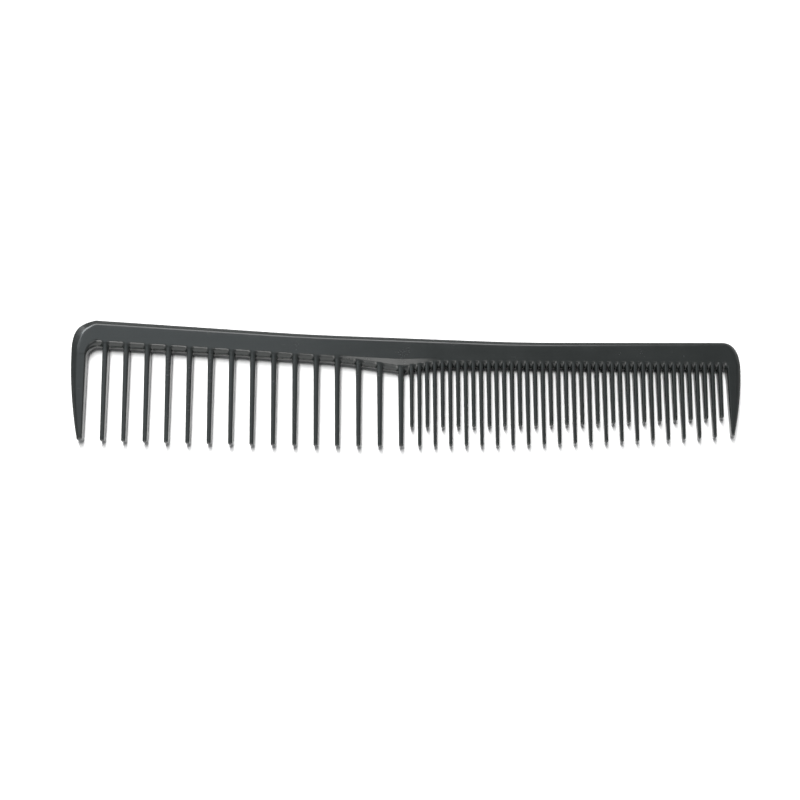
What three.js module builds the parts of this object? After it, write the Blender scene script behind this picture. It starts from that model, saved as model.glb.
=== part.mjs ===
// A barber's cutting comb: one flat moulding that lies on its rear face.
// Millimetres. +X runs from the coarse teeth to the fine teeth, +Y from the tips to the back, +Z is up.
// The spine carries a short root stub for every tooth. Each tooth and end guard is a mesh of its own
// that meets its stub face to face.
import * as THREE from 'three';

// Driving dimensions
const LENGTH = 180;
const THICKNESS = 4;
const HALF_LENGTH = LENGTH / 2;
const MID = THICKNESS / 2;

// Back of the spine: a straight run that bends twice, with a bevel on both faces
const BACK_START = new THREE.Vector2(-83.8, 17.07);
const BACK_END = new THREE.Vector2(84.9, 11.92);
const BACK_SLOPE = -0.063;
const BACK_BENDS = [{ at: -27, change: 0.03, reach: 10 }, { at: 31, change: 0.0385, reach: 10 }];
const BEVEL = 1.15;
const EDGE_LAND = 2.3;
const END_STATIONS = [0.15, 0.5, 1, BEVEL, 2.3, 3.2];

// Rounding of the flat end edge: distance from its back or its front end, share of its half thickness
const END_EDGE_BACK = [[0, 0.6], [0.2, 0.9]];
const END_EDGE_FRONT = [[0.7, 1], [0.2, 0.85], [0.05, 0.5], [0, 0]];

// Front edge of the spine's flat face: it dips into a V at the divider tooth
const CREASE_START = new THREE.Vector2(-80, 11.15);
const CREASE_SLOPE = -0.061;
const CREASE_BENDS = [
  { at: -18, change: -0.083, reach: 4 },
  { at: -1.19, change: 0.272, reach: 0.6 },
  { at: 9.5, change: -0.128, reach: 2 },
];
const PROW = { at: -1.19, drop: 0.45, width: 1.75, narrowing: 0.1, leastWidth: 0.5, left: 19, right: 13 };

// Rounded gap ends: depth past the crease, and the shoulder as shares of the depth and the height
const COARSE_NOSE = 1.62;
const FINE_NOSE = 1.7;
const NOSE_AT_GUARD = 0.3;
const SHOULDER_REACH = 0.7;
const SHOULDER_HEIGHT = 0.62;

// The stub that carries a tooth past the gap ends
const STUB = 0.5;
const STUB_DRAFT = 0.12;
const STUB_STEP = 0.05;

// Teeth: x of the first and last of each kind, widths and thicknesses from root to tip, and how far
// an axis moves towards the fine end for each millimetre from the root
const COARSE = { first: -80.81, last: -1.19, count: 15, rootWidth: 1.62, tipWidth: 1.22, tipThickness: 2.2 };
const FINE = { first: 1.66, last: 84.49, count: 41 };
const LONG = { rootWidth: 1.18, tipWidth: 0.95, tipThickness: 1.8 };
const SHORT = { rootWidth: 1.18, tipWidth: 0.98, tipThickness: 2 };
const ROOT_THICKNESS = 3.8;
const SHORTER_BY = 5.1;
const TOOTH_LEAN = 0.009;
const TOOTH_BEVEL_SHARE = 0.22;
const TOOTH_SIDE_SHARE = 0.7;

// Rounded tips: distance back from the tip, and the scale of the section there. A tooth's distances
// are in half tip widths, a guard's in millimetres.
const TOOTH_END = [[1.2, 1], [0.4, 0.85], [0, 0.45]];
const GUARD_END = [[0.8, 1], [0.25, 0.85], [0, 0.5]];

// The line through the tips is two shallow parabolas that meet at its lowest point
const TIP_LOW = new THREE.Vector2(-6.4, -17.07);
const TIP_RISE_LEFT = 1.03;
const TIP_RISE_RIGHT = 2.97;
const TIP_SPAN_LEFT = 74.3;
const TIP_SPAN_RIGHT = 89;

// End guards: the outer edge bows inward to the tip, the inner edge is nearly straight
const LEFT_GUARD = { inner: -85.8, lean: 0, root: 7.6, tip: -15.9, bowFrom: 9.3, bow: 0.00433, fillet: 3 };
const RIGHT_GUARD = { inner: 86.3, lean: 0.03, root: 3.4, tip: -13.6, bowFrom: 6, bow: 0.00619, fillet: 0.9 };
const GUARD_TIP_THICKNESS = 2.8;
const GUARD_INNER_BEVEL = 0.35;
const GUARD_TIP_BEVEL = 0.4;
const GUARD_STATIONS = [0, 0.25, 0.5, 0.75];
const FILLET_STATIONS = [0.04, 0.12, 0.3, 0.6, 1];

// Steps of the search for a point on a curve, and the tolerance when stations are compared
const SEARCH_STEPS = 40;
const TOLERANCE = 0.01;

// Corners of the outline, as cubic curves from the end edge to the back
const LEFT_CORNER = new THREE.CubicBezierCurve(
  new THREE.Vector2(-HALF_LENGTH, 9.3), new THREE.Vector2(-89.85, 15),
  new THREE.Vector2(-88, 16), BACK_START,
);
const RIGHT_CORNER = new THREE.CubicBezierCurve(
  new THREE.Vector2(HALF_LENGTH, 4.6), new THREE.Vector2(HALF_LENGTH, 9.6),
  new THREE.Vector2(88.3, 11.95), BACK_END,
);

const PLASTIC = new THREE.MeshStandardMaterial({ color: 0x3f4445, roughness: 0.38, metalness: 0 });

// A straight line that has turned by `change` once x is past `at`, rounded over `reach` on each side
function bent(x, bends) {
  let y = 0;
  for (const { at, change, reach } of bends) {
    const past = x - at;
    if (past > reach) {
      y += change * past;
    } else if (past > -reach) {
      y += change * (past + reach) ** 2 / (4 * reach);
    }
  }
  return y;
}

// Height of a curve at x, where x rises or falls steadily along the curve
function curveY(curve, x) {
  let low = 0;
  let high = 1;
  const rising = curve.getPoint(1).x > curve.getPoint(0).x;
  for (let step = 0; step < SEARCH_STEPS; step += 1) {
    const middle = (low + high) / 2;
    if (curve.getPoint(middle).x < x === rising) {
      low = middle;
    } else {
      high = middle;
    }
  }
  return curve.getPoint(low).y;
}

// The same curve, moved inward by `by` along its normal; `side` is -1 where inward is to the right
class Inset extends THREE.Curve {
  constructor(curve, by, side) {
    super();
    this.curve = curve;
    this.by = by;
    this.side = side;
  }

  getPoint(t) {
    const tangent = this.curve.getTangent(t);
    const inward = new THREE.Vector2(-tangent.y, tangent.x).multiplyScalar(this.side * this.by);
    return this.curve.getPoint(t).add(inward);
  }
}

function backY(x) {
  if (x < BACK_START.x) {
    return curveY(LEFT_CORNER, x);
  }
  if (x > BACK_END.x) {
    return curveY(RIGHT_CORNER, x);
  }
  return BACK_START.y + BACK_SLOPE * (x - BACK_START.x) + bent(x, BACK_BENDS);
}

// Distance in from the nearer end, no more than the bevel's width
function bevelReach(x) {
  return Math.min(BEVEL, HALF_LENGTH - Math.abs(x));
}

// Where the bevel meets the face: the outline moved inward by the bevel's width
function faceBackY(x) {
  const reach = bevelReach(x);
  if (x < BACK_START.x) {
    const inset = new Inset(LEFT_CORNER, reach, -1);
    const end = inset.getPoint(1);
    return x < end.x ? curveY(inset, x) : Math.min(end.y, backY(x) - reach);
  }
  if (x > BACK_END.x) {
    const inset = new Inset(RIGHT_CORNER, reach, 1);
    const end = inset.getPoint(1);
    return x > end.x ? curveY(inset, x) : Math.min(end.y, backY(x) - reach);
  }
  return backY(x) - reach;
}

// Half the thickness at x, on the bevel or inside it
function faceHalf(x) {
  return EDGE_LAND / 2 + (MID - EDGE_LAND / 2) * bevelReach(x) / BEVEL;
}

// Fillet in the corner between a guard and the first gap end
function filletDrop(x, guard) {
  const into = Math.abs(x - guard.inner);
  if (into >= guard.fillet) {
    return 0;
  }
  return guard.fillet - Math.sqrt(guard.fillet ** 2 - (guard.fillet - into) ** 2);
}

function creaseY(x) {
  const line = CREASE_START.y + CREASE_SLOPE * (x - CREASE_START.x) + bent(x, CREASE_BENDS);
  const corner = x < PROW.at ? LEFT_GUARD : RIGHT_GUARD;
  return line - filletDrop(x, corner);
}

// How far the rounded gap end reaches past the crease: less inside a guard's fillet
function noseDepth(x) {
  const full = x < PROW.at ? COARSE_NOSE : FINE_NOSE;
  const guard = x < PROW.at ? LEFT_GUARD : RIGHT_GUARD;
  const into = Math.abs(x - guard.inner) / guard.fillet;
  return full * Math.min(1, NOSE_AT_GUARD + (1 - NOSE_AT_GUARD) * into);
}

// The sloping facet above the V, deepest at the divider tooth
function facet(x) {
  const away = x - PROW.at;
  const fade = Math.max(0, 1 - Math.abs(away) / (away < 0 ? PROW.left : PROW.right));
  return {
    drop: PROW.drop * fade,
    width: Math.max(PROW.leastWidth, PROW.width - PROW.narrowing * Math.abs(away)),
  };
}

// Height of the line through the long tips
function tipY(x) {
  const away = x - TIP_LOW.x;
  const rise = away < 0 ? TIP_RISE_LEFT : TIP_RISE_RIGHT;
  const span = away < 0 ? TIP_SPAN_LEFT : TIP_SPAN_RIGHT;
  return TIP_LOW.y + rise * (away / span) ** 2;
}

// Where a tooth meets its stub
function rootY(x) {
  return creaseY(x) - (x <= PROW.at ? COARSE_NOSE : FINE_NOSE) - STUB;
}

// A closed skin over rings of equally many [x, y, z] points, listed anticlockwise as seen from the last
// ring: an extruded polygon whose corners are moved onto the rings
function loft(rings) {
  const sides = rings[0].length;
  const corners = [];
  for (let corner = 0; corner < sides; corner += 1) {
    const angle = 2 * Math.PI * corner / sides;
    corners.push(new THREE.Vector2(Math.cos(angle), Math.sin(angle)));
  }
  const polygon = new THREE.Shape(corners);
  const steps = rings.length - 1;
  const geometry = new THREE.ExtrudeGeometry(polygon, { depth: steps, steps, bevelEnabled: false });
  const place = geometry.attributes.position;
  for (let i = 0; i < place.count; i += 1) {
    const turn = Math.atan2(place.getY(i), place.getX(i)) / (2 * Math.PI);
    const corner = Math.round(turn * sides + sides) % sides;
    place.setXYZ(i, ...rings[Math.round(place.getZ(i))][corner]);
  }
  geometry.computeVertexNormals();
  return geometry;
}

// A whole cross-section at x from its upper half, which runs from the back to the mid plane
function mirrored(x, upper) {
  const lower = upper.filter(([, z]) => z > 0).reverse().map(([y, z]) => [y, -z]);
  return [...upper, ...lower].map(([y, z]) => [x, y, MID + z]);
}

function spineRing(x, front) {
  return mirrored(x, [[backY(x), EDGE_LAND / 2], [faceBackY(x), faceHalf(x)], ...front]);
}

// Front of a section in a gap: the face's edge, then a rounded end
function gapFront(x) {
  const { drop, width } = facet(x);
  const nose = noseDepth(x);
  const crease = creaseY(x);
  const half = MID - drop;
  return [
    [crease + width, MID],
    [crease, half],
    [crease - SHOULDER_REACH * nose, SHOULDER_HEIGHT * half],
    [crease - nose, 0],
  ];
}

// Front of a section through a tooth's stub: flush with the face, cut square at the root plane
function stubFront(x, root) {
  const { drop, width } = facet(x);
  const crease = creaseY(x);
  const half = Math.min(ROOT_THICKNESS / 2, MID - drop - STUB_STEP);
  return [[crease + width, MID], [crease, MID - drop], [root, half], [root, 0]];
}

// Front of a section over a guard: cut square at the guard's root plane
function guardFront(x, guard) {
  const half = faceHalf(x);
  const atInnerEdge = Math.abs(x) < Math.abs(guard.inner) + TOLERANCE;
  const inner = atInnerEdge ? half - GUARD_INNER_BEVEL : half;
  return [[guard.root + 1, half], [guard.root, inner], [guard.root, inner / 2], [guard.root, 0]];
}

// The very end of the spine: a narrow rounded edge
function endRing(x, guard) {
  const half = EDGE_LAND / 2;
  const back = END_EDGE_BACK.map(([inward, share]) => [backY(x) - inward, share * half]);
  const front = END_EDGE_FRONT.map(([inward, share]) => [guard.root + inward, share * half]);
  return mirrored(x, [...back, ...front]);
}

function numbered(name, number) {
  return `${name}_${String(number).padStart(2, '0')}`;
}

// Every tooth between the guards, from the coarse end to the fine end
function listTeeth() {
  const teeth = [];
  for (let i = 0; i < COARSE.count; i += 1) {
    const x = COARSE.first + (COARSE.last - COARSE.first) * i / (COARSE.count - 1);
    const name = i < COARSE.count - 1 ? numbered('coarse_tooth', i + 1) : 'divider_tooth';
    teeth.push({ kind: COARSE, name, x, tip: tipY(x) });
  }
  for (let i = 0; i < FINE.count; i += 1) {
    const x = FINE.first + (FINE.last - FINE.first) * i / (FINE.count - 1);
    const short = i % 2 === 0;
    const name = numbered(short ? 'fine_short_tooth' : 'fine_long_tooth', Math.floor(i / 2) + 1);
    const tip = short ? tipY(x) + SHORTER_BY : tipY(x);
    teeth.push({ kind: short ? SHORT : LONG, name, x, tip });
  }
  return teeth;
}

// Stations over one end, from the end edge to the first gap: x is given as a distance inward
function endRings(side, guard) {
  const overGuard = HALF_LENGTH - Math.abs(guard.inner);
  const corner = HALF_LENGTH - Math.abs(side < 0 ? BACK_START.x : BACK_END.x);
  const rings = [endRing(side * HALF_LENGTH, guard)];
  for (const inward of [...END_STATIONS, overGuard - GUARD_INNER_BEVEL, overGuard]) {
    const x = side * (HALF_LENGTH - inward);
    rings.push(spineRing(x, guardFront(x, guard)));
  }
  const fillet = FILLET_STATIONS.map((share) => overGuard + share * guard.fillet);
  const stations = corner < fillet.at(-1) ? [...fillet, corner] : fillet;
  for (const inward of stations.sort((a, b) => a - b)) {
    const x = side * (HALF_LENGTH - inward);
    rings.push(spineRing(x, gapFront(x)));
  }
  return rings;
}

function makeSpine(teeth) {
  const rings = endRings(-1, LEFT_GUARD);
  for (const { kind, x } of teeth) {
    const half = kind.rootWidth / 2;
    const root = rootY(x);
    const before = x - half - STUB_DRAFT;
    const after = x + half + STUB_DRAFT;
    rings.push(spineRing(before, gapFront(before)));
    rings.push(spineRing(x - half, stubFront(x - half, root)));
    rings.push(spineRing(x + half, stubFront(x + half, root)));
    rings.push(spineRing(after, gapFront(after)));
  }
  rings.push(...endRings(1, RIGHT_GUARD).reverse());
  return loft(rings);
}

// An eight-sided cross-section at height y. Each side has an x, half its upright height, and the
// width of the bevels above and below it.
function barRing(y, half, left, right) {
  return [
    [right.x, y, MID - right.half],
    [right.x, y, MID + right.half],
    [right.x - right.bevel, y, MID + half],
    [left.x + left.bevel, y, MID + half],
    [left.x, y, MID + left.half],
    [left.x, y, MID - left.half],
    [left.x + left.bevel, y, MID - half],
    [right.x - right.bevel, y, MID - half],
  ];
}

function makeTooth({ kind, x, tip }) {
  const root = rootY(x);
  const rootHalf = Math.min(ROOT_THICKNESS / 2, MID - facet(x).drop - STUB_STEP);
  const ring = (y, scale) => {
    const share = (root - y) / (root - tip);
    const width = scale * (kind.rootWidth + (kind.tipWidth - kind.rootWidth) * share);
    const half = scale * (rootHalf + (kind.tipThickness / 2 - rootHalf) * share);
    const middle = x + TOOTH_LEAN * (root - y);
    const side = { half: TOOTH_SIDE_SHARE * half, bevel: TOOTH_BEVEL_SHARE * width };
    return barRing(y, half, { ...side, x: middle - width / 2 }, { ...side, x: middle + width / 2 });
  };
  const rings = [ring(root, 1), ring((root + tip) / 2, 1)];
  for (const [back, scale] of TOOTH_END) {
    rings.push(ring(tip + back * kind.tipWidth / 2, scale));
  }
  return loft(rings);
}

// Outer edge of a guard at height y, on the side that `side` gives
function guardOuter(guard, side, y) {
  return side * (HALF_LENGTH - guard.bow * Math.max(0, guard.bowFrom - y) ** 2);
}

function makeGuard(guard, side) {
  const ring = (y, scale) => {
    const share = (guard.root - y) / (guard.root - guard.tip);
    const outerX = guardOuter(guard, side, y);
    const innerX = guard.inner + guard.lean * (guard.root - y);
    const middle = (outerX + innerX) / 2;
    const reach = scale * Math.abs(outerX - innerX) / 2;
    const half = scale * (MID + (GUARD_TIP_THICKNESS / 2 - MID) * share);
    const outer = {
      x: middle + side * reach,
      half: half * EDGE_LAND / THICKNESS,
      bevel: scale * (BEVEL + (GUARD_TIP_BEVEL - BEVEL) * share),
    };
    const inner = {
      x: middle - side * reach,
      half: half - scale * GUARD_INNER_BEVEL,
      bevel: scale * GUARD_INNER_BEVEL,
    };
    return side < 0 ? barRing(y, half, outer, inner) : barRing(y, half, inner, outer);
  };
  const rings = [];
  for (const share of GUARD_STATIONS) {
    rings.push(ring(guard.root + (guard.tip - guard.root) * share, 1));
  }
  for (const [back, scale] of GUARD_END) {
    rings.push(ring(guard.tip + back, scale));
  }
  return loft(rings);
}

function addPiece(group, name, geometry) {
  const piece = new THREE.Mesh(geometry, PLASTIC.clone());
  piece.name = name;
  group.add(piece);
}

const comb = new THREE.Group();
const teeth = listTeeth();
addPiece(comb, 'spine', makeSpine(teeth));
addPiece(comb, 'coarse_end_guard', makeGuard(LEFT_GUARD, -1));
addPiece(comb, 'fine_end_guard', makeGuard(RIGHT_GUARD, 1));
for (const each of teeth) {
  addPiece(comb, each.name, makeTooth(each));
}

export default comb;
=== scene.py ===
import math

import bpy
import numpy as np
from mathutils import Matrix, Vector


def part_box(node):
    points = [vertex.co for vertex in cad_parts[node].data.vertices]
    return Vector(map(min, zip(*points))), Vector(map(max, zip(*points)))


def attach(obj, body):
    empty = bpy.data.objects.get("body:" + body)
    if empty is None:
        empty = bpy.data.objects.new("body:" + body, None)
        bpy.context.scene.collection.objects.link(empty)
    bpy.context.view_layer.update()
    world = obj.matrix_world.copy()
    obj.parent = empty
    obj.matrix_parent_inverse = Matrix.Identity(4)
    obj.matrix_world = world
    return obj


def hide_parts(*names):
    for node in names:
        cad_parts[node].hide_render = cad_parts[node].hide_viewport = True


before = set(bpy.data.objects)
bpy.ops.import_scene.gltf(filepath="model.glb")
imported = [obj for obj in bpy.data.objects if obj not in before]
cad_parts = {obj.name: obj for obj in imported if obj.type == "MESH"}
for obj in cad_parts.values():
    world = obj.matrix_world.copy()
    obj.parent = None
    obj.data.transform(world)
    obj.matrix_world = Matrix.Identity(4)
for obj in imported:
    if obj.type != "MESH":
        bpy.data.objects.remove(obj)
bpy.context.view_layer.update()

# The comb lies on its rear face: +X runs to the fine teeth, +Y to the back, +Z is up.
# Lengths are millimetres until a mesh is made. Heights are measured from the mid plane, because
# the moulding is the same above and below it.
MM = 0.001
MID = 2.0
HALF_LENGTH = 90.0

# Outline, the same curves as the CAD part
BACK_START = (-83.8, 17.07)
BACK_END = (84.9, 11.92)
BACK_SLOPE = -0.063
BACK_BENDS = ((-27, 0.03, 10), (31, 0.0385, 10))
CREASE_START = (-80, 11.15)
CREASE_SLOPE = -0.061
CREASE_BENDS = ((-18, -0.083, 4), (-1.19, 0.272, 0.6), (9.5, -0.128, 2))
PROW_X = -1.19
LEFT_CORNER = ((-90, 9.3), (-89.85, 15), (-88, 16), BACK_START)
RIGHT_CORNER = (BACK_END, (88.3, 11.95), (90, 9.6), (90, 4.6))
TIP_FLOOR = -17.07

# Metres from the comb between which the flat paper floor gets a painted glow, standing in for lamp light on
# a far studio sweep, and its strength there
PAINTED_GLOW_FROM = 0.3
PAINTED_GLOW_TO = 1.2
PAINTED_GLOW_STRENGTH = 0.6

# Lamp colours, and the camera: metres, degrees and millimetres of lens
WARM = (1.0, 0.99, 0.97)
COOL = (0.86, 0.94, 1.0)
WHITE = (1.0, 1.0, 1.0)
CAMERA_TARGET = (-0.0014, -0.00422, 0.002)
CAMERA_DISTANCE = 0.402
CAMERA_TILT = 12.7
CAMERA_ROLL = 0.37
CAMERA_LENS = 67.5
FLOOR_HALF = 3.0
BRIGHT_HORIZON = (0.72, 0.72, 0.72, 1)
DIM_SKY = (0.215, 0.22, 0.225, 1)

# Back bevel and the narrow edge it runs down to
BEVEL_AT = ((-84.0, 1.15), (-15.0, 1.0), (30.0, 0.9), (85.0, 0.8))
BEVEL_RADIUS = 1.3
BEVEL_ANGLE = math.radians(34)
BEVEL_RISE = 0.78
LAND_RADIUS = 0.15
PARTING_RIDGE = 0.02
LAND_DRAFT = 0.02
RIDGE_HALF = 0.04

# Facet above the V, rounded gap ends, and the teeth's sections
FACET_SUPPORT = 0.15
FACET = {"drop": 0.45, "width": 1.75, "narrowing": 0.1, "least": 0.5, "left": 19, "right": 13}
COARSE_NOSE = 1.62
FINE_NOSE = 1.7
NOSE_X = 1.15
NOSE_Z = 1.7
TOOTH_X = 6.0
TOOTH_Z = 4.0
TOOTH_LEAN = 0.009
COARSE_ROOT_WIDTH = 1.62
FINE_ROOT_WIDTH = 1.18
COARSE_FILLET = 0.6
FINE_FILLET = 0.42
TOOTH_STEPS = 12
NOSE_STEPS = 10
STUB_STEPS = 3
FACE_STEPS = 3
ROOT_STEPS = 4
CORNER_ANGLES = 19
GUARD_LEVELS = 16
TOOTH_LEVELS = 14
CAP_STEPS = 7
FILLET_SHARES = (1, 0.62, 0.34, 0.15, 0.04)
ARC_STEPS = 4

LEFT_GUARD = {
    "side": -1, "inner": -85.8, "lean": 0.0, "root": 7.6, "tip": -15.9, "bow_from": 9.3, "bow": 0.00433,
    "crease_drop": 3.8, "end_radius": (3.0, 2.6), "root_bevel": 1.7, "corner_bevel": 2.1,
}
RIGHT_GUARD = {
    "side": 1, "inner": 86.3, "lean": 0.03, "root": 3.4, "tip": -13.6, "bow_from": 6.0, "bow": 0.00619,
    "crease_drop": 1.3, "end_radius": (0.6, 0.6), "root_bevel": 1.0, "corner_bevel": 1.1,
}
GUARD_INNER = 0.4
GUARD_ROUNDING = 1.75
GUARD_TIP_HALF = 1.4
GUARD_TIP_BEVEL = 0.5
GUARD_TIP_INNER = 0.35
GUARD_TIP_ROUND = 0.75
GUARD_SQUARENESS = 2.6
GUARD_NOSE_X = 2.2
GUARD_NOSE_Z = 3.4

# Where the corners of the gaps' ends meet the upright sections
LEFT_FAN_X = LEFT_GUARD["inner"] + LEFT_GUARD["end_radius"][0]
RIGHT_FAN_X = 85.4

# Teeth at the tip: width, half thickness, squareness of the rounding, and its length
COARSE_TIP = (1.22, 1.1, 3.2, 0.6)
LONG_TIP = (0.95, 0.9, 2.2, 0.75)
SHORT_TIP = (0.98, 1.0, 2.2, 0.75)


def bent(x, bends):
    """Height of a straight line that turns softly at each bend."""
    y = 0.0
    for at, change, reach in bends:
        past = x - at
        if past > reach:
            y += change * past
        elif past > -reach:
            y += change * (past + reach) ** 2 / (4 * reach)
    return y


def back_y(x):
    return BACK_START[1] + BACK_SLOPE * (x - BACK_START[0]) + bent(x, BACK_BENDS)


def crease_y(x):
    return CREASE_START[1] + CREASE_SLOPE * (x - CREASE_START[0]) + bent(x, CREASE_BENDS)


def nose_depth(x):
    return COARSE_NOSE if x < PROW_X else FINE_NOSE


def facet(x):
    """(drop of the crease below the face, width) of the sloping facet above the V."""
    away = abs(x - PROW_X)
    reach = FACET["left"] if x < PROW_X else FACET["right"]
    fade = max(0.0, 1 - away / reach)
    return FACET["drop"] * fade, max(FACET["least"], FACET["width"] - FACET["narrowing"] * away)


def cubic(points, steps):
    p = np.array(points, float)
    t = np.linspace(0, 1, steps + 1)[:, None]
    return (1 - t) ** 3 * p[0] + 3 * (1 - t) ** 2 * t * p[1] + 3 * (1 - t) * t**2 * p[2] + t**3 * p[3]


def guard_outer(guard, y):
    return guard["side"] * (HALF_LENGTH - guard["bow"] * max(0.0, guard["bow_from"] - y) ** 2)


def guard_inner(guard, y):
    return guard["inner"] + guard["lean"] * (guard["root"] - y)


def make_outline():
    """The outer edge from the coarse guard's tip, over the back, to the fine guard's tip."""
    left = [(guard_outer(LEFT_GUARD, y), y) for y in np.linspace(TIP_FLOOR - 2, LEFT_CORNER[0][1], 80)]
    right = [(guard_outer(RIGHT_GUARD, y), y) for y in np.linspace(RIGHT_CORNER[3][1], TIP_FLOOR - 2, 80)]
    back = [(x, back_y(x)) for x in np.linspace(BACK_START[0], BACK_END[0], 300)]
    parts = [left[:-1], cubic(LEFT_CORNER, 80)[:-1], back, cubic(RIGHT_CORNER, 80)[1:], right[1:]]
    return np.vstack([np.array(part, float) for part in parts])


OUTLINE = make_outline()


def outline_distance(point):
    a, b = OUTLINE[:-1], OUTLINE[1:]
    run = b - a
    share = np.clip(((point - a) * run).sum(1) / (run * run).sum(1), 0, 1)
    return np.sqrt((((a + share[:, None] * run) - point) ** 2).sum(1)).min()


def outline_hit(start, direction):
    """Where a ray from inside crosses the outline."""
    a, b = OUTLINE[:-1], OUTLINE[1:]
    run = b - a
    cross = direction[0] * run[:, 1] - direction[1] * run[:, 0]
    cross = np.where(np.abs(cross) < 1e-12, 1e-12, cross)
    gap = a - start
    along = (gap[:, 0] * run[:, 1] - gap[:, 1] * run[:, 0]) / cross
    share = (gap[:, 0] * direction[1] - gap[:, 1] * direction[0]) / cross
    good = (along > 0) & (share >= -1e-9) & (share <= 1 + 1e-9)
    return start + direction * along[good].min()


def along_for_depth(start, direction, depth):
    """How far to go from the outline, in a direction, to be `depth` inside it."""
    low, high = 0.0, depth * 4 + 0.01
    for _ in range(30):
        middle = (low + high) / 2
        if outline_distance(start + direction * middle) < depth:
            low = middle
        else:
            high = middle
    return low


def rounded(points, radii, steps=ARC_STEPS):
    """A polyline whose inner corners are arcs of the given radii."""
    out = [points[0]]
    for before, corner, after, radius in zip(points, points[1:], points[2:], radii):
        corner = np.array(corner, float)
        back = np.array(before, float) - corner
        ahead = np.array(after, float) - corner
        back /= np.linalg.norm(back)
        ahead /= np.linalg.norm(ahead)
        half = math.acos(float(np.clip(back @ ahead, -1, 1))) / 2
        middle = (back + ahead) / np.linalg.norm(back + ahead)
        centre = corner + middle * radius / math.sin(half)
        start = corner + back * radius / math.tan(half) - centre
        end = corner + ahead * radius / math.tan(half) - centre
        turn = math.atan2(start[0] * end[1] - start[1] * end[0], start @ end)
        for step in range(steps + 1):
            angle = turn * step / steps
            c, s = math.cos(angle), math.sin(angle)
            out.append(tuple(centre + np.array([c * start[0] - s * start[1], s * start[0] + c * start[1]])))
    out.append(points[-1])
    return out


def along_comb(x, table):
    return float(np.interp(x, [at for at, _ in table], [value for _, value in table]))


def edge_profile(x, top, bevel=None, radius=None):
    """(depth inside the outline, height) from the parting line up the land and the bevel to the face."""
    full = along_comb(x, BEVEL_AT)
    bevel = bevel or full
    radius = radius or BEVEL_RADIUS
    land = top - min(bevel * math.tan(BEVEL_ANGLE), BEVEL_RISE * top / MID)
    foot = PARTING_RIDGE
    corners = [(foot, RIDGE_HALF), (foot + LAND_DRAFT, land), (bevel, top), (bevel * 2, top)]
    profile = rounded(corners, (LAND_RADIUS * bevel / full, radius))
    return [(0.0, 0.0)] + profile[:-1]


def nose_rows(depth, top, power_x=NOSE_X, power_z=NOSE_Z):
    """(distance past the crease, height) of a rounded end, down to the mid plane."""
    rows = []
    for step in range(1, NOSE_STEPS + 1):
        angle = math.pi / 2 * step / NOSE_STEPS
        height = 0.0 if step == NOSE_STEPS else top * math.cos(angle) ** (2 / power_z)
        rows.append((depth * math.sin(angle) ** (2 / power_x), height))
    return rows


def plain_station(outer, crease, end, top, powers, bevel, radius):
    """Points (x, y, height) of one section, from the parting line at the outline to the one at the gap."""
    outer, crease, end = (np.array(p, float) for p in (outer, crease, end))
    span = np.linalg.norm(crease - outer)
    direction = (crease - outer) / span
    station = []
    for depth, height in edge_profile(outer[0], top, bevel, radius):
        along = depth if depth <= 0 else along_for_depth(outer, direction, depth)
        station.append((*(outer + direction * along), height))
    last = np.linalg.norm(np.array(station[-1][:2]) - outer)
    steps = FACE_STEPS + 4
    for step in range(1, steps + 1):
        along = last + (span - last) * step / steps
        station.append((*(outer + direction * along), top))
    run = end - crease
    depth = np.linalg.norm(run)
    for past, height in nose_rows(depth, top, *powers):
        station.append((*(crease + run * past / depth), height))
    return station


class Tooth:
    """Place and size of one tooth: its ends and thickness come from its CAD node."""

    def __init__(self, node, shape):
        low, high = (np.array(corner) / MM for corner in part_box(node))
        self.node = node
        self.coarse = node.startswith("coarse") or node.startswith("divider")
        self.half_width = (COARSE_ROOT_WIDTH if self.coarse else FINE_ROOT_WIDTH) / 2
        self.x = low[0] + self.half_width
        self.half = (high[2] - low[2]) / 2
        self.root = high[1]
        self.tip = low[1]
        self.tip_width, self.tip_half, self.squareness, self.rounding = shape

    def axis(self, y):
        return self.x + TOOTH_LEAN * (self.root - y)

    def section(self):
        """(offset from the axis, height) over the top of the root section."""
        points = []
        for step in range(TOOTH_STEPS + 1):
            angle = math.pi * step / TOOTH_STEPS
            c, s = math.cos(angle), math.sin(angle)
            offset = -math.copysign(abs(c) ** (2 / TOOTH_X), c) * self.half_width
            height = 0.0 if step in (0, TOOTH_STEPS) else self.half * s ** (2 / TOOTH_Z)
            points.append((offset, height))
        return points


def list_teeth():
    teeth = []
    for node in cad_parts:
        if node.startswith("coarse_tooth") or node == "divider_tooth":
            teeth.append(Tooth(node, COARSE_TIP))
        elif node.startswith("fine_long"):
            teeth.append(Tooth(node, LONG_TIP))
        elif node.startswith("fine_short"):
            teeth.append(Tooth(node, SHORT_TIP))
    return sorted(teeth, key=lambda tooth: tooth.x)


TEETH = list_teeth()


def fillet_radii(index):
    """Fillet radius on the left and right of a tooth, kept inside its gaps."""
    tooth = TEETH[index]
    full = COARSE_FILLET if tooth.coarse else FINE_FILLET
    radii = []
    for step, limit in ((-1, LEFT_FAN_X), (1, RIGHT_FAN_X)):
        other = index + step
        side = tooth.x + step * tooth.half_width
        if 0 <= other < len(TEETH):
            gap = abs(TEETH[other].x - tooth.x) - TEETH[other].half_width - tooth.half_width
            radii.append(min(full, 0.47 * gap))
        else:
            radii.append(min(full, 0.95 * abs(limit - side)))
    return radii


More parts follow.
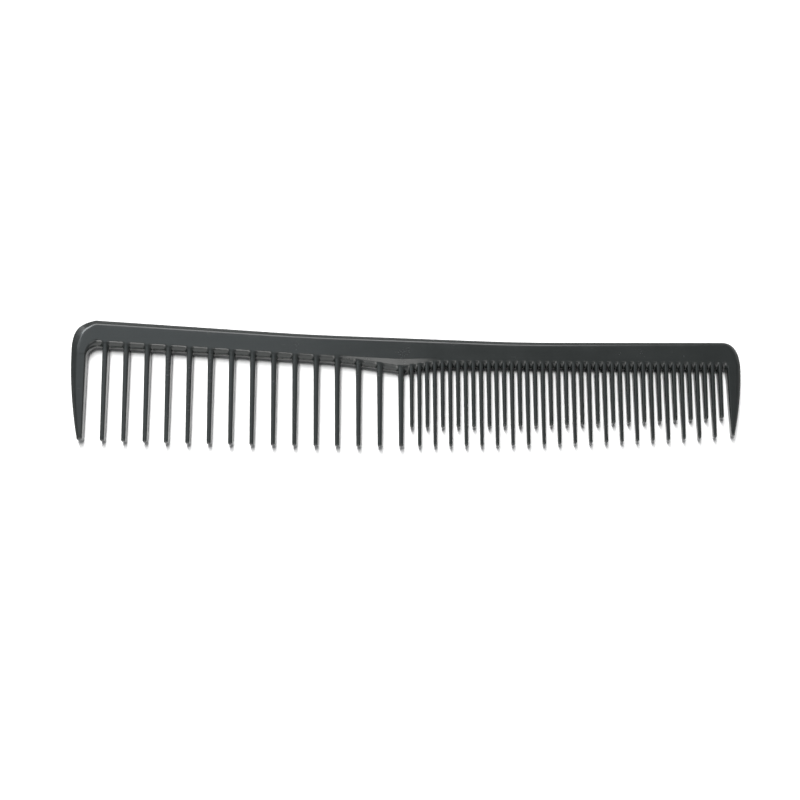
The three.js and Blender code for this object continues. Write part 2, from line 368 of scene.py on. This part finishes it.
def tooth_height(u, v, half_width, half, fillet, nose, top):
    """Height of the surface beside a tooth: u is the distance out from its side and v the distance past
    the gap's end, both negative inside the solid. Fillets join the rounded end and the rounded side."""
    low, high = np.zeros_like(v), np.full_like(v, top)
    for _ in range(32):
        z = (low + high) / 2
        past_end = v + nose * (1 - (1 - (z / top) ** NOSE_Z) ** (1 / NOSE_X))
        side = np.clip(1 - (z / half) ** TOOTH_Z, 0, 1)
        past_side = u + half_width * (1 - side ** (1 / TOOTH_X))
        corner = (past_side < fillet) & (past_end < fillet)
        blended = (fillet - past_side) ** 2 + (fillet - past_end) ** 2 > fillet**2
        solid = (past_end < 0) | (past_side < 0) | (corner & blended)
        low, high = np.where(solid, z, low), np.where(solid, high, z)
    return low


def spine_station(x, tooth=None, offset=0.0, fillet=0.0):
    """One upright section of the spine at x, beside or over a tooth."""
    drop, width = facet(x)
    top = MID - drop
    crease = crease_y(x)
    nose = nose_depth(x)
    outer = back_y(x)
    station = [(x, outer - depth, height) for depth, height in edge_profile(x, MID)]
    start = station[-1][1]
    flat_end = crease + width + FACET_SUPPORT
    for step in range(1, FACE_STEPS + 1):
        station.append((x, start + (flat_end - start) * step / FACE_STEPS, MID))
    for past in (0.0, FACET_SUPPORT, width - FACET_SUPPORT, width):
        station.append((x, crease + width - past, MID - drop * past / width))
    if tooth is None:
        return station + [(x, crease - past, height) for past, height in nose_rows(nose, top)], []
    u = abs(offset) - tooth.half_width
    over = u <= 1e-9
    root_v = crease - nose - tooth.root
    share = np.sin(np.pi / 2 * np.arange(1, NOSE_STEPS + 1) / NOSE_STEPS) ** (2 / NOSE_X)
    if over:
        ratio = max(0.0, 1 - (abs(offset) / tooth.half_width) ** TOOTH_X)
        level = min(tooth.half * ratio ** (1 / TOOTH_Z), top)
        junction = fillet - nose * (1 - (1 - (level / top) ** NOSE_Z) ** (1 / NOSE_X))
    else:
        junction = fillet - math.sqrt(max(0.0, fillet**2 - (fillet - min(u, fillet)) ** 2))
    v = -nose + (nose + junction) * share
    stub_v = np.linspace(junction, root_v, STUB_STEPS + 1)[1:]
    every = np.concatenate([v, stub_v]) if over else v
    half = top + (tooth.half - top) * (every + nose) / (root_v + nose)
    height = tooth_height(u, every, tooth.half_width, half, fillet, nose, top)
    if over and u > -1e-9:
        height[NOSE_STEPS - 1:] = 0.0
    elif over:
        height[-1] = tooth.half * ratio ** (1 / TOOTH_Z)
    else:
        height[-1] = 0.0
    rows = [(x, crease - nose - past, float(h)) for past, h in zip(every, height)]
    return station + rows[:NOSE_STEPS], rows[NOSE_STEPS:]


def corner_stations(guard):
    """Sections round the corner from the guard's root up to the first upright section."""
    side = guard["side"]
    fan_x = LEFT_FAN_X if side < 0 else RIGHT_FAN_X
    crease_ry = guard["crease_drop"]
    end_rx, end_ry = guard["end_radius"]
    crease_centre = np.array([fan_x, crease_y(fan_x) - crease_ry])
    end_centre_x = guard["inner"] - side * end_rx
    end_centre = np.array([end_centre_x, crease_y(fan_x) - nose_depth(fan_x) - end_ry])
    inner = GUARD_INNER
    crease_rx = abs(guard["inner"] - fan_x) + inner
    stations = []
    for step in range(ROOT_STEPS):
        share = step / ROOT_STEPS
        y = guard["root"] + (crease_centre[1] - guard["root"]) * share
        end_y = guard["root"] + (end_centre[1] - guard["root"]) * share
        corner_y = LEFT_CORNER[0][1] if side < 0 else RIGHT_CORNER[3][1]
        if y < corner_y:
            outer = (guard_outer(guard, y), y)
        else:
            outer = outline_hit(np.array([fan_x, y]), np.array([float(side), 0.0]))
        crease = (guard_inner(guard, y) + side * inner, y)
        stations.append((outer, crease, (guard_inner(guard, end_y), end_y), 0.0))
    angles = list(np.linspace(0, 90, CORNER_ANGLES))
    if side < 0:
        kink = np.array(BACK_START) - crease_centre
        angles.append(math.degrees(math.atan2(kink[1], -kink[0])))
    for angle in sorted(angles):
        c, s = math.cos(math.radians(angle)), math.sin(math.radians(angle))
        crease = crease_centre + np.array([side * crease_rx * c, crease_ry * s])
        end = end_centre + np.array([side * end_rx * c, end_ry * s])
        if angle > 89.999:
            end[0] = fan_x
        direction = np.array([side * c, s])
        outer = outline_hit(crease_centre, direction)
        stations.append((outer, crease, end, angle / 90))
    return stations


def corner_bevel(guard, share):
    """Bevel width and radius round a corner: widest half way between the guard's root and the back."""
    back = along_comb(guard["side"] * HALF_LENGTH, BEVEL_AT)
    bulge = math.sin(math.pi * share) ** 2
    plain = guard["root_bevel"] + (back - guard["root_bevel"]) * share
    bevel = plain + bulge * (guard["corner_bevel"] - back)
    return bevel, (GUARD_ROUNDING * (1 - share) + share * BEVEL_RADIUS / back) * bevel


def blend_powers(share):
    """Exponents of the rounded inner edge: square on the guard, half round at the gap's end."""
    ease = share * share * (3 - 2 * share)
    return GUARD_NOSE_X + (NOSE_X - GUARD_NOSE_X) * ease, GUARD_NOSE_Z + (NOSE_Z - GUARD_NOSE_Z) * ease


class Skin:
    """Collects the upper half of a closed skin and mirrors it below the mid plane."""

    def __init__(self):
        self.points = []
        self.faces = []

    def add(self, x, y, height):
        """Returns the indices of the point above the mid plane and of its mirror image."""
        self.points.append((x * MM, y * MM, (MID + height) * MM))
        upper = len(self.points) - 1
        if height <= 1e-7:
            return upper, upper
        self.points.append((x * MM, y * MM, (MID - height) * MM))
        return upper, upper + 1

    def row(self, station):
        return [self.add(*point) for point in station]

    def face(self, corners):
        kept = []
        for corner in corners:
            if corner not in kept:
                kept.append(corner)
        if len(kept) > 2:
            self.faces.append(kept)

    def strip(self, left, right):
        """Faces between two neighbouring sections, above and below."""
        for a, b, c, d in zip(left, left[1:], right[1:], right):
            self.face([a[0], b[0], c[0], d[0]])
            self.face([d[1], c[1], b[1], a[1]])

    def cap(self, row, turned):
        """A flat end between the upper and the lower half of a section."""
        for a, b in zip(row, row[1:]):
            corners = [a[0], a[1], b[1], b[0]]
            self.face(corners if turned else corners[::-1])

    def close(self, row, tip, turned):
        """A fan from a section to a point."""
        middle = self.add(*tip)[0]
        for a, b in zip(row, row[1:]):
            for upper, corners in ((0, [a[0], b[0], middle]), (1, [middle, b[1], a[1]])):
                self.face(corners[::-1] if turned else corners)


def make_object(name, skin):
    mesh = bpy.data.meshes.new(name)
    mesh.from_pydata(skin.points, [], skin.faces)
    mesh.validate()
    mesh.update()
    mesh.shade_smooth()
    mesh.set_sharp_from_angle(angle=math.radians(50))
    piece = bpy.data.objects.new(name, mesh)
    bpy.context.scene.collection.objects.link(piece)
    weighted = piece.modifiers.new("face_weighted_normals", "WEIGHTED_NORMAL")
    weighted.keep_sharp = True
    weighted.weight = 50
    return piece


def build_spine():
    skin = Skin()
    rows = []
    for outer, crease, end, share in corner_stations(LEFT_GUARD)[:-1]:
        bevel, radius = corner_bevel(LEFT_GUARD, share)
        rows.append((plain_station(outer, crease, end, MID, blend_powers(share), bevel, radius), []))
    rows.append(spine_station(LEFT_FAN_X))
    previous_edge = LEFT_FAN_X
    for index, tooth in enumerate(TEETH):
        left, right = fillet_radii(index)
        start = tooth.x - tooth.half_width - left
        if start - previous_edge > 1:
            middles = [previous_edge + (start - previous_edge) * share for share in (1 / 3, 2 / 3)]
            rows.extend(spine_station(x) for x in middles)
        for share in FILLET_SHARES:
            offset = -(tooth.half_width + left * share)
            rows.append(spine_station(tooth.x + offset, tooth, offset, left))
        count = TOOTH_STEPS
        for step, (offset, _) in enumerate(tooth.section()):
            radius = left + (right - left) * step / count
            rows.append(spine_station(tooth.x + offset, tooth, offset, radius))
        for share in reversed(FILLET_SHARES):
            offset = tooth.half_width + right * share
            rows.append(spine_station(tooth.x + offset, tooth, offset, right))
        previous_edge = tooth.x + tooth.half_width + right
    rows.append(spine_station(RIGHT_FAN_X))
    for outer, crease, end, share in corner_stations(RIGHT_GUARD)[-2::-1]:
        bevel, radius = corner_bevel(RIGHT_GUARD, share)
        rows.append((plain_station(outer, crease, end, MID, blend_powers(share), bevel, radius), []))
    previous = None
    first = last = None
    for main, stub in rows:
        current = (skin.row(main), skin.row(stub))
        if previous:
            skin.strip(previous[0], current[0])
            if previous[1] and current[1]:
                skin.strip([previous[0][-1]] + previous[1], [current[0][-1]] + current[1])
                a, b = previous[1][-1], current[1][-1]
                skin.face([a[0], a[1], b[1], b[0]])
        else:
            first = current[0]
        previous = current
        last = current[0]
    skin.cap(first, True)
    skin.cap(last, False)
    return make_object("comb_spine", skin)


def build_guard(name, guard):
    skin = Skin()
    side = guard["side"]
    rows = []
    length = guard["root"] - guard["tip"]
    cap = GUARD_TIP_ROUND
    levels = [guard["root"] - (length - cap) * step / GUARD_LEVELS for step in range(GUARD_LEVELS + 1)]
    for y in levels:
        share = (guard["root"] - y) / length
        top = MID + (GUARD_TIP_HALF - MID) * share
        bevel = guard["root_bevel"] + (GUARD_TIP_BEVEL - guard["root_bevel"]) * share
        inner = GUARD_INNER + (GUARD_TIP_INNER - GUARD_INNER) * share
        outer = (guard_outer(guard, y), y)
        end = (guard_inner(guard, y), y)
        crease = (end[0] + side * inner, y)
        rows.append(plain_station(outer, crease, end, top, blend_powers(0), bevel, GUARD_ROUNDING * bevel))
    base = rows[-1]
    centre = (base[0][0] + base[-1][0]) / 2
    power = GUARD_SQUARENESS
    for step in range(1, CAP_STEPS):
        u = math.sin(math.pi / 2 * step / CAP_STEPS)
        shrink = (1 - u**power) ** (1 / power)
        y = guard["tip"] + cap * (1 - u)
        rows.append([(centre + (x - centre) * shrink, y, height * shrink) for x, _, height in base])
    indexed = [skin.row(row) for row in rows]
    for before, after in zip(indexed, indexed[1:]):
        if side < 0:
            skin.strip(after, before)
        else:
            skin.strip(before, after)
    skin.cap(indexed[0], side > 0)
    skin.close(indexed[-1], (centre, guard["tip"], 0.0), side < 0)
    return make_object(name, skin)


def build_tooth(tooth):
    skin = Skin()
    section = tooth.section()
    cap = tooth.rounding
    length = tooth.root - tooth.tip
    rows = []
    for step in range(TOOTH_LEVELS + 1):
        share = (1 - cap / length) * step / TOOTH_LEVELS
        width = 1 + (tooth.tip_width / 2 / tooth.half_width - 1) * share
        half = 1 + (tooth.tip_half / tooth.half - 1) * share
        rows.append((tooth.root - share * length, width, half))
    _, width, half = rows[-1]
    power = tooth.squareness
    for step in range(1, CAP_STEPS):
        u = math.sin(math.pi / 2 * step / CAP_STEPS)
        shrink = (1 - u**power) ** (1 / power)
        rows.append((tooth.tip + cap * (1 - u), width * shrink, half * shrink))
    indexed = []
    for y, w, h in rows:
        middle = tooth.axis(y)
        indexed.append(skin.row([(middle + offset * w, y, height * h) for offset, height in section]))
    for before, after in zip(indexed, indexed[1:]):
        skin.strip(after, before)
    skin.cap(indexed[0], False)
    skin.close(indexed[-1], (tooth.axis(tooth.tip), tooth.tip, 0.0), True)
    return make_object("comb_" + tooth.node, skin)


class Nodes:
    """Short calls for building a node tree."""

    def __init__(self, tree):
        self.tree = tree

    def new(self, kind, **settings):
        node = self.tree.nodes.new(kind)
        for key, value in settings.items():
            setattr(node, key, value)
        return node

    def link(self, source, target):
        self.tree.links.new(source, target)

    def math(self, operation, a, b=0.5, c=0.5, clamp=False):
        node = self.tree.nodes.new("ShaderNodeMath")
        node.operation = operation
        node.use_clamp = clamp
        for index, value in enumerate((a, b, c)):
            if isinstance(value, (int, float)):
                node.inputs[index].default_value = value
            else:
                self.link(value, node.inputs[index])
        return node.outputs[0]

    def noise(self, vector, scale, detail=3.0, roughness=0.5, distortion=0.0):
        node = self.new("ShaderNodeTexNoise")
        node.inputs["Scale"].default_value = scale
        node.inputs["Detail"].default_value = detail
        node.inputs["Roughness"].default_value = roughness
        node.inputs["Distortion"].default_value = distortion
        self.link(vector, node.inputs["Vector"])
        return node.outputs["Fac"]

    def stretch(self, vector, factors):
        node = self.new("ShaderNodeVectorMath", operation="MULTIPLY")
        self.link(vector, node.inputs[0])
        node.inputs[1].default_value = factors
        return node.outputs[0]

    def spread(self, value, low, high, to_low, to_high):
        node = self.new("ShaderNodeMapRange")
        self.link(value, node.inputs["Value"])
        for key, number in (("From Min", low), ("From Max", high), ("To Min", to_low), ("To Max", to_high)):
            node.inputs[key].default_value = number
        return node.outputs["Result"]


def plastic_material():
    material = bpy.data.materials.new("charcoal_moulded_plastic")
    material.use_nodes = True
    tree = material.node_tree
    tree.nodes.clear()
    n = Nodes(tree)
    output = n.new("ShaderNodeOutputMaterial")
    shader = n.new("ShaderNodeBsdfPrincipled")
    n.link(shader.outputs[0], output.inputs["Surface"])
    shader.inputs["IOR"].default_value = 1.58
    origin = n.new("ShaderNodeVectorMath", operation="ADD")
    n.link(n.new("ShaderNodeTexCoord").outputs["Object"], origin.inputs[0])
    origin.inputs[1].default_value = (0.373, 0.531, 0.717)
    place = origin.outputs[0]

    # Colour: a cloudy pigment and faint flow streaks along the comb
    cloud = n.noise(place, 60, 4, 0.55)
    streak = n.noise(n.stretch(place, (25, 260, 260)), 1.0, 4, 0.6, 0.6)
    speck = n.noise(place, 2600, 2, 0.6)
    tone = n.math("ADD", n.math("MULTIPLY", cloud, 0.5), n.math("MULTIPLY", streak, 0.35))
    tone = n.math("ADD", tone, n.math("MULTIPLY", speck, 0.15))
    ramp = n.new("ShaderNodeValToRGB")
    ramp.color_ramp.elements[0].position = 0.34
    ramp.color_ramp.elements[0].color = (0.0165, 0.0192, 0.0187, 1)
    ramp.color_ramp.elements[1].position = 0.66
    ramp.color_ramp.elements[1].color = (0.0235, 0.0272, 0.0265, 1)
    n.link(tone, ramp.inputs["Fac"])
    n.link(ramp.outputs["Color"], shader.inputs["Base Color"])

    # Roughness: handling smudges, fine scratches and worn patches
    smudge = n.spread(n.noise(place, 130, 3, 0.5), 0.35, 0.65, 0.0, 1.0)
    scratch = n.noise(n.stretch(place, (110, 6500, 6500)), 1.0, 2, 0.7, 0.2)
    scratch = n.spread(scratch, 0.60, 0.80, 0.0, 1.0)
    rough = n.math("ADD", n.math("MULTIPLY", smudge, 0.07), n.math("MULTIPLY", scratch, 0.03))
    rough = n.math("ADD", rough, n.math("MULTIPLY", speck, 0.04))
    rough = n.math("ADD", rough, 0.18, clamp=True)
    n.link(rough, shader.inputs["Roughness"])

    # Surface: moulded orange peel, a finer grain, and the scratches
    peel = n.noise(n.stretch(place, (520, 900, 900)), 1.0, 2, 0.5)
    grain = n.noise(place, 5200, 2, 0.5)
    relief = n.math("ADD", n.math("MULTIPLY", peel, 1.0), n.math("MULTIPLY", grain, 0.12))
    bump = n.new("ShaderNodeBump")
    bump.inputs["Strength"].default_value = 0.35
    bump.inputs["Distance"].default_value = 0.00002
    n.link(relief, bump.inputs["Height"])
    n.link(bump.outputs["Normal"], shader.inputs["Normal"])
    return material


def make_floor():
    """The floor, and two collections that let a lamp light only the floor or all but the floor."""
    mesh = bpy.data.meshes.new("studio_floor")
    size = FLOOR_HALF
    corners = [(-size, -size, 0), (size, -size, 0), (size, size, 0), (-size, size, 0)]
    mesh.from_pydata(corners, [], [(0, 1, 2, 3)])
    floor = bpy.data.objects.new("studio_floor", mesh)
    bpy.context.scene.collection.objects.link(floor)
    material = bpy.data.materials.new("white_paper")
    material.use_nodes = True
    shader = material.node_tree.nodes["Principled BSDF"]
    shader.inputs["Base Color"].default_value = (0.86, 0.86, 0.855, 1)
    shader.inputs["Roughness"].default_value = 0.9
    shader.inputs["Specular IOR Level"].default_value = 0.1
    shader.inputs["Emission Color"].default_value = (1, 1, 1, 1)
    n = Nodes(material.node_tree)
    # Painted light: the floor's emission grows with distance from the comb, standing in for lamp light on
    # the far floor
    distance = n.new("ShaderNodeVectorMath", operation="LENGTH")
    n.link(n.new("ShaderNodeTexCoord").outputs["Object"], distance.inputs[0])
    painted_glow = n.spread(distance.outputs["Value"], PAINTED_GLOW_FROM, PAINTED_GLOW_TO, 0.0, PAINTED_GLOW_STRENGTH)
    n.link(painted_glow, shader.inputs["Emission Strength"])
    mesh.materials.append(material)
    groups = []
    for name, state in (("floor_only", "INCLUDE"), ("all_but_floor", "EXCLUDE")):
        group = bpy.data.collections.new(name)
        group.objects.link(floor)
        group.collection_objects[0].light_linking.link_state = state
        groups.append(group)
    return groups


def area_light(name, place, target, size, radiance, colour, lights_only=None):
    """A rectangular softbox of that radiance, facing its target."""
    light = bpy.data.lights.new(name, "AREA")
    light.shape = "RECTANGLE"
    light.size, light.size_y = size
    light.energy = radiance * math.pi * size[0] * size[1]
    light.color = colour
    lamp = bpy.data.objects.new(name, light)
    lamp.location = place
    lamp.rotation_euler = (Vector(target) - Vector(place)).to_track_quat("-Z", "Y").to_euler()
    bpy.context.scene.collection.objects.link(lamp)
    if lights_only:
        lamp.light_linking.receiver_collection = lights_only


def make_world():
    world = bpy.data.worlds.new("studio")
    world.use_nodes = True
    tree = world.node_tree
    n = Nodes(tree)
    background = tree.nodes["Background"]
    coordinate = n.new("ShaderNodeTexCoord")
    parts = n.new("ShaderNodeSeparateXYZ")
    n.link(coordinate.outputs["Generated"], parts.inputs[0])
    ramp = n.new("ShaderNodeValToRGB")
    ramp.color_ramp.interpolation = "EASE"
    stops = ramp.color_ramp.elements
    stops[0].position, stops[0].color = 0.0, BRIGHT_HORIZON
    stops[1].position, stops[1].color = 1.0, DIM_SKY
    stop = stops.new(0.2)
    stop.color = BRIGHT_HORIZON
    stop = stops.new(0.4)
    stop.color = DIM_SKY
    n.link(parts.outputs["Z"], ramp.inputs["Fac"])
    n.link(ramp.outputs["Color"], background.inputs["Color"])
    background.inputs["Strength"].default_value = 1.0
    bpy.context.scene.world = world


def make_camera():
    tilt, roll = math.radians(CAMERA_TILT), math.radians(CAMERA_ROLL)
    forward = Vector((0, math.sin(tilt), -math.cos(tilt)))
    rise = Vector((0, math.cos(tilt), math.sin(tilt)))
    right = Vector((1, 0, 0)) * math.cos(roll) + rise * math.sin(roll)
    up = -Vector((1, 0, 0)) * math.sin(roll) + rise * math.cos(roll)
    place = Vector(CAMERA_TARGET) - forward * CAMERA_DISTANCE
    data = bpy.data.cameras.new("photo_camera")
    data.lens = CAMERA_LENS
    data.sensor_width = 36
    data.clip_start = 0.01
    camera = bpy.data.objects.new("photo_camera", data)
    turn = Matrix((right, up, -forward)).transposed().to_4x4()
    camera.matrix_world = Matrix.Translation(place) @ turn
    bpy.context.scene.collection.objects.link(camera)
    bpy.context.scene.camera = camera


plastic = plastic_material()


def finish_piece(piece, node):
    piece.data.materials.append(plastic)
    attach(piece, "root")
    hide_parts(node)


finish_piece(build_spine(), "spine")
finish_piece(build_guard("comb_coarse_end_guard", LEFT_GUARD), "coarse_end_guard")
finish_piece(build_guard("comb_fine_end_guard", RIGHT_GUARD), "fine_end_guard")
for tooth in TEETH:
    finish_piece(build_tooth(tooth), tooth.node)

floor_only, all_but_floor = make_floor()
make_world()
area_light("facet_softbox", (0.02, -0.26, 0.87), (0.02, 0, 0), (0.42, 0.22), 3.8, WARM, all_but_floor)
area_light("front_softbox", (-0.50, -0.56, 0.60), (-0.50, 0, 0), (0.74, 0.26), 5.0, WARM, all_but_floor)
area_light("low_softbox", (0.1, -0.76, 0.24), (0.1, 0, 0), (1.8, 0.40), 0.9, WARM, all_but_floor)
area_light("back_softbox", (-0.30, 0.62, 0.66), (-0.30, 0, 0), (0.90, 0.42), 4.6, WHITE, all_but_floor)
area_light("top_softbox", (-0.34, 0.28, 0.90), (-0.34, 0.28, 0), (0.62, 0.40), 0.8, COOL, all_but_floor)
area_light("left_lamp", (-0.50, 0.46, 0.62), (-0.08, 0, 0), (0.30, 0.22), 5.0, COOL, all_but_floor)
area_light("floor_lamp", (-0.12, 0.45, 0.90), (0, 0, 0), (0.22, 0.95), 30.0, WHITE, floor_only)
make_camera()
bpy.context.scene.view_settings.view_transform = "Standard"
